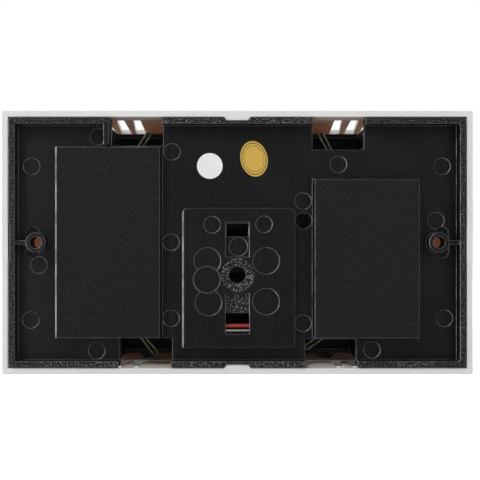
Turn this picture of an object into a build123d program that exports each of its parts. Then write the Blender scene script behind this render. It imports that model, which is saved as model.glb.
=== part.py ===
from build123d import *
import os
from math import cos, pi, sin, sqrt

# Wall chime with two notes. The wall is the plane y = 0 and the front faces -Y, with +Z up.
# A depth is a distance from the wall towards the front. The origin is midway between the two
# mounting holes, on the wall.

# Cover
cover_width = 195.0
cover_height = 109.0
cover_depth = 55.0
cover_wall = 2.4
front_wall = 2.6
cover_stand_off = 0.5
cover_fit = 0.4
cover_corner_radius = 0.8
front_edge_radius = 2.4
rib_depth = 12.0
rib_fit = 0.25
front_groove_inset = 9.0
front_groove_width = 1.2
front_groove_depth = 0.5
ledge_depth = 18.8
ledge_height = 0.4

# Louvre slots in the cover's top and bottom walls, which lean outwards towards the front
slot_count = 6
slot_pitch = 7.0
slot_edge_inset = 56.0
top_slot_near = 10.0
slot_front_gap = 3.5
top_slot_width = 3.1
top_slot_far_width = 4.8
top_slot_lean = 2.7
bottom_slot_near = 2.6
bottom_slot_far = 18.8
bottom_slot_width = 2.9
bottom_slot_far_width = 4.3
bottom_slot_lean = -0.7

# Base plate
base_width = cover_width - 2 * (cover_wall + cover_fit)
base_height = cover_height - 2 * (cover_wall + cover_fit)
floor_depth = 5.3
sheet = 2.0
rim_width = 2.5
base_corner_radius = 1.3
long_notch_width = 13.4
long_notch_depth = 1.3
side_notch_width = 14.7
side_notch_depth = 0.5
notch_chamfer = 0.8
overrun = 1.0

# Cut-outs in the rim, as the span in x, then how far they reach in from the plate's long edge
upper_low_window = (31.2, 52.9, 11.0)
upper_high_window = (-53.2, -31.5, 12.7)
lower_low_window = (27.4, 49.4, 11.6)
lower_high_window = (-49.9, -28.3, 11.0)
window_rib_width = 2.2
window_rib_fit = 0.3

# Resonator wells, whose backs stand almost at the wall. The insets are from the plate's edges.
# Their walls flare towards the floor, by the draft angle that lets them out of the mould.
well_depth = 1.0
well_draft = 9.0
well_inner = 32.2
well_outer_inset = 19.1
low_well_top_inset = 12.1
high_well_top_inset = 25.7
well_bottom_inset = 12.1

# Raised pad in the middle, with the wire entry and its channel. Rises are from the pad's bottom.
pad_depth = 3.5
pad_left = -24.1
pad_right = 23.1
pad_height = 58.5
pad_bottom_inset = 7.6
pad_corner_radius = 2.5
channel_width = 10.0
channel_depth = 1.2
channel_top_rise = 52.7
upper_opening_rise = 46.6
upper_opening_height = 5.4
upper_opening_width = 9.2
lower_opening_rise = 5.7
lower_opening_height = 8.8
wire_hole_rise = 30.4
wire_hole_radius = 3.5
wire_cone_radius = 6.7
wire_boss_radius = 7.6
wire_collar_radius = 5.2
wire_collar_end = 9.0
post_hole_x = -27.9
post_hole_rise = 53.3
post_hole_radius = 3.4
post_wall = 0.9
post_end = 14.0

# Mounting bosses
mount_inset = 11.2
mount_hole_radius = 2.5
mount_boss_radius = 4.1
mount_recess_width = 5.8
mount_recess_height = 13.2
mount_recess_depth = 1.0
mount_recess_shift = 2.6
mount_rib_width = 1.7

# Round marks that the mould's ejector pins leave, as shares of half the plate's size
mark_radius = 3.5
mark_depth = 0.3
mark_shares = [
    (0.915, 0.620), (0.619, 0.861), (0.291, 0.738), (0.295, 0.002), (0.295, -0.618),
    (0.919, -0.631), (0.883, -0.184), (0.626, -0.882), (-0.449, 0.635), (-0.910, 0.620),
    (-0.292, 0.336), (-0.882, 0.178), (-0.920, -0.618), (-0.292, -0.658), (-0.598, -0.875),
]
pad_mark_shares = [(0.471, 0.761), (-0.450, 0.768)]
channel_mark_x = -0.4
channel_mark_rise = 42.3
channel_mark_radius = 3.9
large_mark_radius = 5.6
large_mark_shares = [(0.565, -0.024), (0.556, 0.244), (0.535, -0.352), (-0.488, -0.338), (-0.488, 0.244)]

# Bridges across the four cut-outs, each with a peg that a cord loops over
bridge_near = 23.0
bridge_far = 31.0
bridge_wall = 2.2
bridge_leg = 2.0
bridge_leg_fit = 0.2
bridge_leg_foot = 1.0
bridge_screen = 1.6
upper_bridge_inset = 3.5
lower_bridge_inset = 2.3
peg_radius = 0.5
peg_near = 20.0
peg_head_radius = 0.8
peg_head_length = 0.5
peg_inset = 0.6
high_lower_peg_inset = 3.2
low_upper_peg_x = 39.5
low_lower_peg_x = 36.4
high_upper_peg_x = -37.0
high_lower_peg_x = -30.8
catch_x = 39.3
catch_width = 9.0
catch_tip_width = 4.0
catch_height = 1.9
catch_thickness = 3.0

# Tone plates. Their notes are a major third apart, so their lengths are as the root of 5 to 4.
plate_x = 51.0
plate_thickness = 2.0
plate_width = 26.0
plate_end_inset = 12.2
note_share = 0.8
plate_hole_inset = 5.5
plate_edge_radius = 1.2
grommet_bore = 1.7
grommet_groove = 2.9
grommet_radius = 4.0
grommet_flange = 1.0
grommet_fit = 0.05

# Suspension cords
cord_radius = 0.4
strand_offset = 0.6
cord_gap = 0.15
knot_radius = 1.9
knot_seat_share = 0.68
lower_knot_room = 1.4
cord_bend = 2.0

# Stop ribs with felt pads, on which the plates hang
stop_z = 17.0
stop_width = 2.0
stop_far = 14.0
felt_thickness = 1.0
plate_gap = 0.3

# Solenoids
axis_depth = 21.2
rear_coil_rise = 19.3
coil_spacing = 36.6
bobbin_length = 30.0
bobbin_bore = 4.5
bobbin_wall = 1.1
flange_size = 24.0
flange_thickness = 1.5
flange_corner_radius = 2.0
winding_gap = 0.1
winding_inset = 1.2
tape_thickness = 0.25
tape_inset = 1.0
yoke_sheet = 1.2
yoke_gap = 0.1
yoke_far_overhang = 0.2
yoke_hole_radius = 4.9
yoke_foot_length = 7.0
yoke_foot_width = 12.0
yoke_bend_radius = 1.0

# Screws that hold the yokes to the base plate
yoke_screw_reach = 4.0
screw_boss_radius = 3.2
screw_shank_radius = 1.3
screw_pilot_radius = 1.35
screw_shank_length = 4.6
screw_head_radius = 2.8
screw_head_height = 1.9
screw_hole_radius = 1.6
cross_length = 3.0
cross_width = 0.7
cross_depth = 1.0

# Plungers with their nylon tips
core_radius = 4.2
core_overhang = 4.0
tip_radius = 2.6
tip_socket_radius = 1.6
tip_socket_length = 4.0
half_share = 0.5
collar_radius = 6.2
collar_thickness = 1.6
stop_collar_radius = 5.8
strike_travel = 7.0
overshoot_travel = 3.0
strike_gap = 0.3
spring_room = 14.7

# Return springs
spring_wire = 0.6
spring_radius = 5.3
spring_turns = 6
spring_end = 1.0

# Terminal block
block_half_width = 28.0
block_height = 10.2
block_near = 26.0
block_thickness = 5.0
post_x = 24.0
post_radius = 2.8
terminal_x = 17.5
block_edge_radius = 0.8
post_hole_length = 8.0
terminal_hole_radius = 1.8
terminal_pit_radius = 4.3
terminal_pit_depth = 1.0
terminal_head_radius = 3.1
terminal_head_height = 1.8
terminal_shank_radius = 1.7
washer_size = 6.6
washer_thickness = 0.8
slot_cut_width = 0.9
slot_cut_depth = 0.9

# Coil leads
lead_radius = 0.85
red_lead_rise = 8.9
red_lead_depth = 6.6
red_lead_x = 9.5
red_lead_end_x = -15.7
rear_lead_x = 11.0
front_lead_x = 5.0
common_lead_x = -6.0
lead_shift = 1.0
lead_gap = 0.15
lead_start_bend = 2.2
lead_corner = 4.5
lead_sweep = 8.0
lead_bend = 3.0

# Paper labels
round_label_x = 11.6
round_label_share = 0.511
round_label_radius = 5.4
oval_label_x = -7.0
oval_label_share = 0.598
oval_label_half_width = 5.7
oval_label_height_share = 0.217
oval_label_turn = -12
label_thickness = 0.15

half_width = base_width / 2
half_height = base_height / 2
front_of_floor = floor_depth + sheet
cover_inner_z = cover_height / 2 - cover_wall
slot_start = cover_width / 2 - slot_edge_inset
top_slot_far = cover_depth - slot_front_gap

well_outer = half_width - well_outer_inset
low_well_top = half_height - low_well_top_inset
high_well_top = half_height - high_well_top_inset
well_bottom = well_bottom_inset - half_height

pad_bottom = pad_bottom_inset - half_height
pad_top = pad_bottom + pad_height
pad_middle_x = (pad_left + pad_right) / 2
pad_middle_z = (pad_top + pad_bottom) / 2
channel_top = pad_bottom + channel_top_rise
upper_opening_bottom = pad_bottom + upper_opening_rise
upper_opening_top = upper_opening_bottom + upper_opening_height
lower_opening_bottom = pad_bottom + lower_opening_rise
lower_opening_top = lower_opening_bottom + lower_opening_height
wire_hole_z = pad_bottom + wire_hole_rise
post_hole_z = pad_bottom + post_hole_rise
label_field = half_height - rim_width - pad_top
oval_label_half_height = oval_label_height_share * label_field

rear_z = pad_bottom + rear_coil_rise
front_z = rear_z + coil_spacing
block_z = (front_z + rear_z) / 2
yoke_foot_back = axis_depth - flange_size / 2 - yoke_sheet - yoke_far_overhang
yoke_far = axis_depth + flange_size / 2 + yoke_far_overhang
yoke_outside = bobbin_length / 2 + yoke_gap + yoke_sheet
yoke_screw_x = yoke_outside + yoke_screw_reach
winding_radius = flange_size / 2 - winding_inset
tape_length = bobbin_length - 2 * (flange_thickness + tape_inset)
core_length = bobbin_length + 2 * core_overhang

plate_bottom = plate_end_inset - half_height
low_plate_length = -2 * plate_bottom
high_plate_length = low_plate_length * sqrt(note_share)
low_plate_top = plate_bottom + low_plate_length
high_plate_top = plate_bottom + high_plate_length

windows = [(low, high, half_height - cut) for low, high, cut in (upper_low_window, upper_high_window)]
windows += [(low, high, cut - half_height) for low, high, cut in (lower_low_window, lower_high_window)]
upper_face = half_height - upper_bridge_inset
lower_face = lower_bridge_inset - half_height
pegs = [
    (low_upper_peg_x, upper_face - peg_inset),
    (high_upper_peg_x, upper_face - peg_inset),
    (low_lower_peg_x, lower_face + peg_inset),
    (high_lower_peg_x, lower_face + high_lower_peg_inset),
]
os.makedirs("parts", exist_ok=True)


def slab(x_span, z_span, depth_span, mode=Mode.ADD, corner=0, flare=0):
    """A flat block given by its spans in x, in z and in depth. It may flare towards the front."""
    with BuildSketch(Plane.XZ.offset(depth_span[0])) as outline:
        with Locations((sum(x_span) / 2, sum(z_span) / 2)):
            Rectangle(abs(x_span[1] - x_span[0]), abs(z_span[1] - z_span[0]))
        if corner:
            fillet(outline.vertices(), corner)
    extrude(outline.sketch, amount=depth_span[1] - depth_span[0], taper=-flare, mode=mode)


def disc(x, z, radius, depth_span, mode=Mode.ADD):
    """A round post or hole that runs in depth."""
    with BuildSketch(Plane.XZ.offset(depth_span[0])) as outline:
        with Locations((x, z)):
            Circle(radius)
    extrude(outline.sketch, amount=depth_span[1] - depth_span[0], mode=mode)


def rod(z, radius, x_span, mode=Mode.ADD):
    """A round rod or hole along x, on a solenoid's axis."""
    with BuildSketch(Plane.YZ.offset(x_span[0])) as outline:
        with Locations((-axis_depth, z)):
            Circle(radius)
    extrude(outline.sketch, amount=x_span[1] - x_span[0], mode=mode)


def save(piece, name):
    """Names a finished piece and writes it."""
    piece.part.label = name
    export_step(piece.part, "parts/" + name + ".step")


def notch(depth_span, fit, mode):
    """A locating notch or rib in the middle of each long side, with sloping ends."""
    for side in (-1, 1):
        reach = half_height - long_notch_depth + fit
        edge = half_height + (overrun if mode == Mode.SUBTRACT else cover_fit)
        outer = long_notch_width / 2 - notch_chamfer - fit
        inner = outer - long_notch_depth
        with BuildSketch(Plane.XZ.offset(depth_span[0])) as outline:
            with BuildLine():
                Polyline([(-outer, side * edge), (-inner, side * reach), (inner, side * reach),
                          (outer, side * edge)], close=True)
            make_face()
        extrude(outline.sketch, amount=depth_span[1] - depth_span[0], mode=mode)


# The cover is one white moulding: five walls, louvre slots, a locating rib on each long side, and
# a ledge inside the bottom wall.
with BuildPart() as cover:
    slab((-cover_width / 2, cover_width / 2), (-cover_height / 2, cover_height / 2),
         (cover_stand_off, cover_depth), corner=cover_corner_radius)
    fillet(cover.faces().sort_by(Axis.Y)[0].edges(), front_edge_radius)
    slab((-cover_width / 2 + cover_wall, cover_width / 2 - cover_wall), (-cover_inner_z, cover_inner_z),
         (0, cover_depth - front_wall), mode=Mode.SUBTRACT)
    with BuildSketch(Plane.XZ.offset(cover_depth - front_groove_depth)):
        Rectangle(cover_width - 2 * front_groove_inset, cover_height - 2 * front_groove_inset)
        Rectangle(cover_width - 2 * (front_groove_inset + front_groove_width),
                  cover_height - 2 * (front_groove_inset + front_groove_width), mode=Mode.SUBTRACT)
    extrude(amount=front_groove_depth, mode=Mode.SUBTRACT)
    slab((-cover_width / 2 + cover_wall, cover_width / 2 - cover_wall),
         (-cover_inner_z, -cover_inner_z + ledge_height), (ledge_depth, cover_depth - front_wall))
    notch((cover_stand_off, rib_depth), rib_fit, Mode.ADD)
    for side in (-1, 1):
        for number in range(slot_count):
            start = slot_start + number * slot_pitch
            top_points = [
                (start, -top_slot_near),
                (start + top_slot_width, -top_slot_near),
                (start + top_slot_lean + top_slot_far_width, -top_slot_far),
                (start + top_slot_lean, -top_slot_far),
            ]
            bottom_points = [
                (start, -bottom_slot_near),
                (start + bottom_slot_width, -bottom_slot_near),
                (start + bottom_slot_lean + bottom_slot_far_width, -bottom_slot_far),
                (start + bottom_slot_lean, -bottom_slot_far),
            ]
            for points, foot in ((top_points, cover_inner_z - overrun),
                                 (bottom_points, -cover_height / 2 - overrun)):
                with BuildSketch(Plane.XY.offset(foot)) as outline:
                    with BuildLine():
                        Polyline([(side * u, v) for u, v in points], close=True)
                    make_face()
                extrude(outline.sketch, amount=cover_wall + ledge_height + 2 * overrun,
                        dir=(0, 0, 1), mode=Mode.SUBTRACT)
save(cover, "cover")

# The base plate is one black moulding. Its back shows the rim, two raised wells, the pad with the
# wire entry, the bosses and a post that is hollow from the back; its front carries the coils, the
# terminal block and the brackets.
with BuildPart() as base_plate:
    slab((-half_width, half_width), (-half_height, half_height), (0, front_of_floor),
         corner=base_corner_radius)
    slab((-half_width + rim_width, half_width - rim_width),
         (-half_height + rim_width, half_height - rim_width), (0, floor_depth), mode=Mode.SUBTRACT)
    for side, top in ((1, low_well_top), (-1, high_well_top)):
        slab((side * well_inner, side * well_outer), (well_bottom, top), (well_depth, front_of_floor),
             flare=well_draft)
        slab((side * (well_inner + sheet), side * (well_outer - sheet)),
             (well_bottom + sheet, top - sheet), (well_depth + sheet, front_of_floor + overrun),
             mode=Mode.SUBTRACT)
    with BuildSketch(Plane.XZ.offset(pad_depth)) as pad:
        with Locations((pad_middle_x, pad_middle_z)):
            Rectangle(pad_right - pad_left, pad_top - pad_bottom)
        fillet(pad.vertices().sort_by(lambda v: v.X - v.Y)[:-1], pad_corner_radius)
    extrude(amount=front_of_floor - pad_depth)
    slab((pad_left + sheet, pad_right - sheet), (pad_bottom + sheet, pad_top - sheet),
         (pad_depth + sheet, front_of_floor + overrun), mode=Mode.SUBTRACT)
    disc(0, wire_hole_z, wire_boss_radius, (pad_depth, wire_collar_end - sheet))
    disc(0, wire_hole_z, wire_collar_radius, (pad_depth, wire_collar_end))
    slab((-channel_width / 2, channel_width / 2), (lower_opening_bottom, wire_hole_z - wire_boss_radius),
         (pad_depth - overrun, pad_depth + channel_depth), mode=Mode.SUBTRACT)
    slab((-channel_width / 2, channel_width / 2), (wire_hole_z + wire_boss_radius, channel_top),
         (pad_depth - overrun, pad_depth + channel_depth), mode=Mode.SUBTRACT)
    slab((-upper_opening_width / 2, upper_opening_width / 2), (upper_opening_bottom, upper_opening_top),
         (pad_depth, front_of_floor), mode=Mode.SUBTRACT)
    slab((-channel_width / 2, channel_width / 2), (lower_opening_bottom, lower_opening_top),
         (pad_depth, front_of_floor), mode=Mode.SUBTRACT)
    with Locations(Plane.XZ.offset(pad_depth)):
        with Locations((0, wire_hole_z)):
            Cone(wire_cone_radius, wire_hole_radius, sheet, align=(Align.CENTER, Align.CENTER, Align.MIN),
                 mode=Mode.SUBTRACT)
    disc(0, wire_hole_z, wire_hole_radius, (pad_depth, wire_collar_end + overrun), mode=Mode.SUBTRACT)
    disc(post_hole_x, post_hole_z, post_hole_radius + post_wall, (floor_depth, post_end))
    disc(post_hole_x, post_hole_z, post_hole_radius, (pad_depth, post_end - post_wall),
         mode=Mode.SUBTRACT)
    for side in (-1, 1):
        mount_x = side * (half_width - mount_inset)
        with BuildSketch(Plane.XZ.offset(floor_depth)):
            with Locations((mount_x + side * mount_recess_shift, 0)):
                SlotOverall(mount_recess_height, mount_recess_width, rotation=90)
        extrude(amount=mount_recess_depth, mode=Mode.SUBTRACT)
        disc(mount_x, 0, mount_boss_radius, (0, front_of_floor))
        slab((mount_x + side * (mount_boss_radius - mount_rib_width), side * (half_width - rim_width)),
             (-mount_rib_width / 2, mount_rib_width / 2), (well_depth, floor_depth + mount_recess_depth))
        disc(mount_x, 0, mount_hole_radius, (0, front_of_floor), mode=Mode.SUBTRACT)
    slab((upper_low_window[1] + window_rib_fit, upper_low_window[1] + window_rib_fit + window_rib_width),
         (windows[0][2], half_height - rim_width), (0, floor_depth))
    for x_low, x_high, z_edge in windows:
        slab((x_low, x_high), (z_edge, (half_height + overrun) * (1 if z_edge > 0 else -1)),
             (0, front_of_floor), mode=Mode.SUBTRACT)
    notch((0, front_of_floor), 0, Mode.SUBTRACT)
    for side in (-1, 1):
        slab((side * (half_width - side_notch_depth), side * (half_width + overrun)),
             (-side_notch_width / 2, side_notch_width / 2), (0, front_of_floor), mode=Mode.SUBTRACT)
    for x_share, z_share in mark_shares:
        disc(x_share * half_width, z_share * half_height, mark_radius,
             (floor_depth, floor_depth + mark_depth), mode=Mode.SUBTRACT)
    disc(channel_mark_x, pad_bottom + channel_mark_rise, channel_mark_radius,
         (pad_depth + channel_depth, pad_depth + channel_depth + mark_depth), mode=Mode.SUBTRACT)
    for radius, shares in ((mark_radius, pad_mark_shares), (large_mark_radius, large_mark_shares)):
        for x_share, z_share in shares:
            disc(pad_middle_x + x_share * (pad_right - pad_left) / 2,
                 pad_middle_z + z_share * (pad_top - pad_bottom) / 2, radius,
                 (pad_depth, pad_depth + mark_depth), mode=Mode.SUBTRACT)
    for side in (-1, 1):
        for z in (-stop_z, stop_z):
            slab((side * well_inner, side * (plate_x - plate_thickness / 2 - plate_gap - felt_thickness)),
                 (z - stop_width / 2, z + stop_width / 2), (well_depth + sheet, stop_far))
        for z in (front_z, rear_z):
            disc(side * yoke_screw_x, z, screw_boss_radius, (pad_depth + sheet, yoke_foot_back))
            disc(side * yoke_screw_x, z, screw_pilot_radius,
                 (yoke_foot_back + yoke_sheet - screw_shank_length, yoke_foot_back), mode=Mode.SUBTRACT)
        disc(side * post_x, block_z, post_radius, (floor_depth, block_near))
        disc(side * post_x, block_z, screw_pilot_radius, (block_near - post_hole_length, block_near),
             mode=Mode.SUBTRACT)
save(base_plate, "base_plate")

# A bracket stands over each cut-out on two legs, with a screen at its front and the peg that a
# cord loops over. The two lower ones also have a catch for the cover.
with BuildPart() as cord_brackets:
    for (x_low, x_high, z_edge), (peg_x, peg_z) in zip(windows, pegs):
        up = 1 if z_edge > 0 else -1
        face = upper_face if z_edge > 0 else lower_face
        foot = z_edge + up * bridge_leg_foot
        for inner, outward in ((x_low, -1), (x_high, 1)):
            near_side = inner + outward * bridge_leg_fit
            slab((near_side, near_side + outward * bridge_leg), (foot, face), (front_of_floor, bridge_far))
        slab((x_low - bridge_leg_fit, x_high + bridge_leg_fit), (face - up * bridge_wall, face),
             (bridge_near, bridge_far))
        slab((x_low - bridge_leg_fit, x_high + bridge_leg_fit), (foot, face),
             (bridge_far - bridge_screen, bridge_far))
        disc(peg_x, peg_z, peg_radius, (peg_near, bridge_far))
        disc(peg_x, peg_z, peg_head_radius, (peg_near - peg_head_length, peg_near))
        if up < 0:
            middle = catch_x if x_low > 0 else -catch_x
            with BuildSketch(Plane.XZ.offset(bridge_near)) as catch:
                with BuildLine():
                    Polyline([
                        (middle - catch_width / 2, face),
                        (middle - catch_tip_width / 2, face - catch_height),
                        (middle + catch_tip_width / 2, face - catch_height),
                        (middle + catch_width / 2, face),
                    ], close=True)
                make_face()
            extrude(amount=catch_thickness)
save(cord_brackets, "cord_brackets")


# The tone plates are two flat bars of spring steel with a hole near each end. Each hole has a
# rubber grommet, which a knotted loop of nylon cord goes through. A lower loop's knot stands
# clear of its plate, which leaves the plate room to swing.
def tangent_point(centre, radius, start, across):
    """Where a line from the start point touches the circle, on the side that across points to."""
    back = start - centre
    toward = back.normalized()
    aside = (across - toward * across.dot(toward)).normalized()
    share = radius / back.length
    return centre + toward * radius * share + aside * radius * sqrt(1 - share ** 2)


loop_radius = peg_radius + cord_gap + cord_radius
for note, side, top, upper_peg, lower_peg in (
        ("low", 1, low_plate_top, pegs[0], pegs[2]),
        ("high", -1, high_plate_top, pegs[1], pegs[3])):
    holes = (plate_bottom + plate_hole_inset, top - plate_hole_inset)
    with BuildPart() as tone_plate:
        with BuildSketch(Plane.YZ.offset(side * plate_x - plate_thickness / 2)) as outline:
            with Locations((-axis_depth, (plate_bottom + top) / 2)):
                Rectangle(plate_width, top - plate_bottom)
            fillet(outline.vertices(), plate_edge_radius)
            with Locations(*[(-axis_depth, z) for z in holes]):
                Circle(grommet_groove + grommet_fit, mode=Mode.SUBTRACT)
        extrude(amount=plate_thickness)
    save(tone_plate, note + "_tone_plate")
    with BuildPart() as grommets:
        for z in holes:
            outer = plate_thickness / 2 + grommet_flange
            groove = plate_thickness / 2 - grommet_fit
            rod(z, grommet_groove, (side * plate_x - outer, side * plate_x + outer))
            for start, end in ((-outer, -groove - 2 * grommet_fit), (groove + 2 * grommet_fit, outer)):
                rod(z, grommet_radius, (side * plate_x + start, side * plate_x + end))
            rod(z, grommet_bore, (side * plate_x - outer, side * plate_x + outer), mode=Mode.SUBTRACT)
    save(grommets, note + "_plate_grommets")
    for place, hole_z, peg_place, room in (
            ("upper", holes[1], upper_peg, 0), ("lower", holes[0], lower_peg, lower_knot_room)):
        outside_x = side * (plate_x + plate_thickness / 2 + grommet_flange + room)
        mouth_x = side * (plate_x - plate_thickness / 2 - grommet_flange)
        peg = Vector(*peg_place)
        reach = (peg - Vector(mouth_x, hole_z)).normalized()
        across = Vector(reach.Y, -reach.X)
        first_z, second_z = hole_z - strand_offset, hole_z + strand_offset
        if across.Y > 0:
            first_z, second_z = second_z, first_z
        first_touch = tangent_point(peg, loop_radius, Vector(mouth_x, first_z), across)
        second_touch = tangent_point(peg, loop_radius, Vector(mouth_x, second_z), -across)
        far = peg + reach * loop_radius
        with BuildPart() as cord:
            with BuildLine(Plane.XZ.offset(axis_depth)) as line:
                FilletPolyline((outside_x, first_z), (mouth_x, first_z), (first_touch.X, first_touch.Y),
                               radius=cord_bend)
                ThreePointArc((first_touch.X, first_touch.Y), (far.X, far.Y),
                              (second_touch.X, second_touch.Y))
                FilletPolyline((second_touch.X, second_touch.Y), (mouth_x, second_z),
                               (outside_x, second_z), radius=cord_bend)
            path = line.wire()
            with BuildSketch(Plane(origin=path @ 0, z_dir=path % 0)):
                Circle(cord_radius)
            sweep(path=path)
            with Locations((outside_x + side * knot_radius * knot_seat_share, -axis_depth, hole_z)):
                Sphere(knot_radius, rotation=(0, 0, 90 - 90 * side))
        tube = pi * cord_radius ** 2 * path.length
        print(note, place, "cord", round(path.length, 1), "mm long, tube", round(tube, 1),
              "mm3, with its knot", round(cord.part.volume, 1))
        save(cord, note + "_" + place + "_cord")

# Felt pads on the stop ribs keep the hanging plates off the plastic.
with BuildPart() as stop_pads:
    for side in (-1, 1):
        face = plate_x - plate_thickness / 2 - plate_gap
        for z in (-stop_z, stop_z):
            slab((side * (face - felt_thickness), side * face), (z - stop_width / 2, z + stop_width / 2),
                 (stop_far - plate_width / 4, stop_far))
save(stop_pads, "stop_pads")


# Each solenoid is a nylon bobbin with a taped winding in a folded steel yoke.
def spring_path(points):
    """Joins points, each with its direction, by pairs of tangent arcs."""
    for (start, go), (end, arrive) in zip(points, points[1:]):
        chord = end - start
        both = go + arrive
        spread = 2 * (1 - go.dot(arrive))
        along = chord.dot(both)
        reach = (sqrt(along ** 2 + spread * chord.dot(chord)) - along) / spread
        first = start + go * reach
        second = end - arrive * reach
        middle = (first + second) * half_share
        TangentArc(start, middle, tangent=go)
        TangentArc(middle, end, tangent=(second - first).normalized())


core_end = core_length / 2
plate_face = plate_x - plate_thickness / 2
for unit, z, up in (("front", front_z, 1), ("rear", rear_z, -1)):
    half_flange = flange_size / 2
    half_bobbin = bobbin_length / 2
    with BuildPart() as bobbin:
        rod(z, bobbin_bore + bobbin_wall, (-half_bobbin, half_bobbin))
        for start in (-half_bobbin, half_bobbin - flange_thickness):
            with BuildSketch(Plane.YZ.offset(start)) as flange:
                with Locations((-axis_depth, z)):
                    RectangleRounded(flange_size, flange_size, flange_corner_radius)
            extrude(amount=flange_thickness)
        rod(z, bobbin_bore, (-half_bobbin, half_bobbin), mode=Mode.SUBTRACT)
    save(bobbin, unit + "_bobbin")

    half_winding = half_bobbin - flange_thickness - winding_gap
    with BuildPart() as winding:
        rod(z, winding_radius, (-half_winding, half_winding))
        rod(z, bobbin_bore + bobbin_wall + winding_gap, (-half_winding, half_winding), mode=Mode.SUBTRACT)
    save(winding, unit + "_winding")

    with BuildPart() as tape:
        rod(z, winding_radius + winding_gap + tape_thickness, (-tape_length / 2, tape_length / 2))
        rod(z, winding_radius + winding_gap, (-tape_length / 2, tape_length / 2), mode=Mode.SUBTRACT)
    save(tape, unit + "_tape")

    plate_near = z + up * (half_flange + yoke_gap)
    with BuildPart() as yoke:
        slab((-yoke_outside, yoke_outside), (plate_near, plate_near + up * yoke_sheet),
             (yoke_foot_back + yoke_sheet, yoke_far))
        for side in (-1, 1):
            slab((side * (yoke_outside - yoke_sheet), side * yoke_outside),
                 (z - up * half_flange, plate_near + up * yoke_sheet), (yoke_foot_back, yoke_far))
            slab((side * (yoke_outside - yoke_sheet), side * (yoke_outside + yoke_foot_length)),
                 (z - yoke_foot_width / 2, z + yoke_foot_width / 2),
                 (yoke_foot_back, yoke_foot_back + yoke_sheet))
        rod(z, yoke_hole_radius, (-yoke_outside, yoke_outside), mode=Mode.SUBTRACT)
        for side in (-1, 1):
            disc(side * yoke_screw_x, z, screw_hole_radius, (yoke_foot_back, yoke_far), mode=Mode.SUBTRACT)
        corner = yoke.edges().filter_by(Axis.Y).group_by(Axis.Z)[-1 if up > 0 else 0]
        fillet(corner.filter_by(lambda e: e.length > yoke_far / 2), yoke_bend_radius)
    save(yoke, unit + "_yoke")

    # The plunger is a steel core with a nylon tip pressed into each end. Its rest place leaves the
    # overshoot on the low side and the full stroke on the high side.
    low_end = plate_face - overshoot_travel - strike_gap
    high_end = -(plate_face - strike_travel - strike_gap)
    middle = (low_end + high_end) / 2
    with BuildPart() as plunger:
        rod(z, core_radius, (middle - core_end, middle + core_end))
        chamfer(plunger.edges().filter_by(GeomType.CIRCLE), tip_socket_radius / 4)
        rod(z, tip_socket_radius, (middle - core_end, middle - core_end + tip_socket_length),
            mode=Mode.SUBTRACT)
        rod(z, tip_socket_radius, (middle + core_end - tip_socket_length, middle + core_end),
            mode=Mode.SUBTRACT)
    save(plunger, unit + "_plunger")

    collar_at = yoke_outside + spring_room
    if unit == "front":
        low_stop = low_end
        stop_at = -(yoke_outside + overshoot_travel + strike_gap)
    else:
        low_stop = collar_at + collar_thickness
        stop_at = -(yoke_outside + strike_gap)
    for name, foot, end, near, far, radius in (
            ("low_tip" if unit == "front" else "spring_cap", middle + core_end, low_stop,
             collar_at, collar_at + collar_thickness, collar_radius),
            ("high_tip", middle - core_end, high_end,
             stop_at, stop_at - collar_thickness, stop_collar_radius)):
        outward = 1 if end > 0 else -1
        with BuildPart() as tip:
            rod(z, radius, (near, far))
            if abs(near) < abs(foot):
                rod(z, core_radius, (near, foot), mode=Mode.SUBTRACT)
            rod(z, tip_socket_radius - winding_gap / 2, (foot - outward * tip_socket_length, foot))
            rod(z, tip_radius, (foot, end))
            if abs(end) > abs(far):
                fillet(tip.edges().sort_by(Axis.X)[-1 if outward > 0 else 0], tip_radius * half_share)
        save(tip, unit + "_" + name)

    # The return spring sits round the core, between the yoke and the collar of the low tip.
    turn_rise = (spring_room - 2 * spring_end - 2 * spring_wire - 4 * yoke_gap) / spring_turns
    lead_angle = turn_rise / (2 * pi * spring_radius)
    start_x = yoke_outside + spring_end + spring_wire + 2 * yoke_gap
    along_x = Vector(1, 0, 0)
    stations = []
    for quarter in range(4 * spring_turns + 1):
        angle = quarter * pi / 2
        place = Vector(start_x + turn_rise * quarter / 4, -axis_depth + spring_radius * cos(angle),
                       z + spring_radius * sin(angle))
        heading = Vector(lead_angle, -sin(angle), cos(angle)).normalized()
        stations.append((place, heading))
    first, last = stations[0], stations[-1]
    start = first[0] - along_x * spring_end - first[1] * spring_end
    finish = last[0] + along_x * spring_end + last[1] * spring_end
    with BuildPart() as spring:
        with BuildLine() as line:
            Line(start - along_x * spring_wire, start)
            spring_path([(start, along_x)] + stations + [(finish, along_x)])
            Line(finish, finish + along_x * spring_wire)
        path = line.wire()
        with BuildSketch(Plane(origin=path @ 0, z_dir=along_x)):
            Circle(spring_wire / 2)
        sweep(path=path)
    count = 40 * spring_turns
    samples = [path @ (number / count) for number in range(count + 1)]
    apart = count // (2 * spring_turns)
    least = min((samples[i] - samples[j]).length for i in range(count) for j in range(i + apart, count))
    print(unit, "spring least gap", round(least - spring_wire, 2), "volume", round(spring.part.volume, 2),
          "tube", round(pi * (spring_wire / 2) ** 2 * path.length, 2))
    save(spring, unit + "_spring")


def cross_head(x, z, seat, shank):
    """A round headed screw with a cross recess, driven from the front."""
    disc(x, z, screw_shank_radius, (seat - shank, seat))
    disc(x, z, screw_head_radius, (seat, seat + screw_head_height))


def cross_cut(x, z, seat):
    """The cross recess in a screw head."""
    top = seat + screw_head_height
    for wide, tall in ((cross_length, cross_width), (cross_width, cross_length)):
        slab((x - wide / 2, x + wide / 2), (z - tall / 2, z + tall / 2), (top - cross_depth, top),
             mode=Mode.SUBTRACT)


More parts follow.
